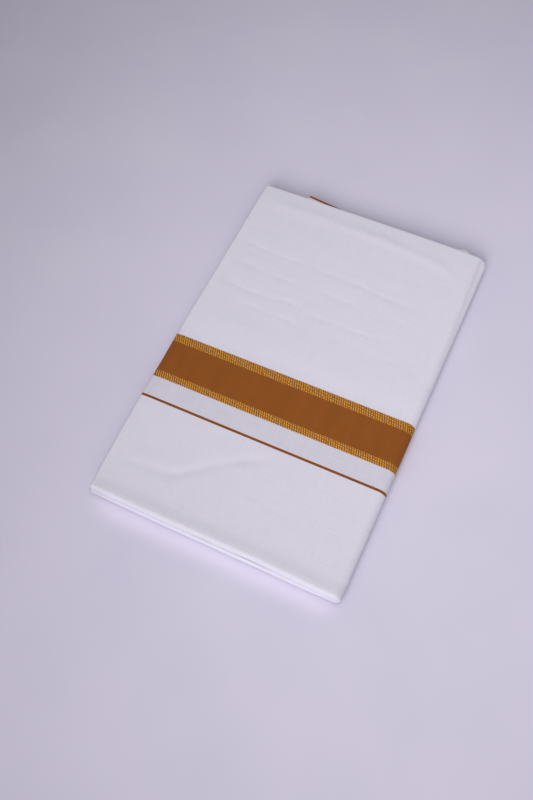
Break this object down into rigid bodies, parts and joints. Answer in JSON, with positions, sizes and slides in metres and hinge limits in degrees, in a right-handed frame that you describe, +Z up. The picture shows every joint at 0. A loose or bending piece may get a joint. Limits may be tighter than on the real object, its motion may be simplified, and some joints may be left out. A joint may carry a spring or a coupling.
{
  "type": "folded dhoti cloth",
  "caption": "White cotton dhoti folded to a flat packet, with a brown border edged in gold zari and a thin brown line",
  "frame": {"origin": "middle of the packet's footprint, on the surface that it lies on", "axes": "+Y along the long sides from the front short side, where the flap folds over, to the far one; +X to the right, to the side that the outer leaf wraps; +Z up"},
  "size_m": [0.2415, 0.3745, 0.015],
  "materials": {
    "white_cotton": "plain-woven bleached cotton, matt, with a fine even weave",
    "brown_cotton": "dyed cotton, close ribbed weave, matt",
    "gold_zari": "metallic zari thread in a fine diagonal twill, softly lustrous"
  },
  "bodies": {
    "root": {"plain_panel": "white_cotton", "flap_ground": "white_cotton", "pinstripe": "brown_cotton", "flap_margin": "white_cotton", "border_gold_inner": "gold_zari", "border_brown": "brown_cotton", "border_gold_outer": "gold_zari", "folded_layers": "white_cotton", "far_stripe": "brown_cotton"}
  },
  "joints": []
}
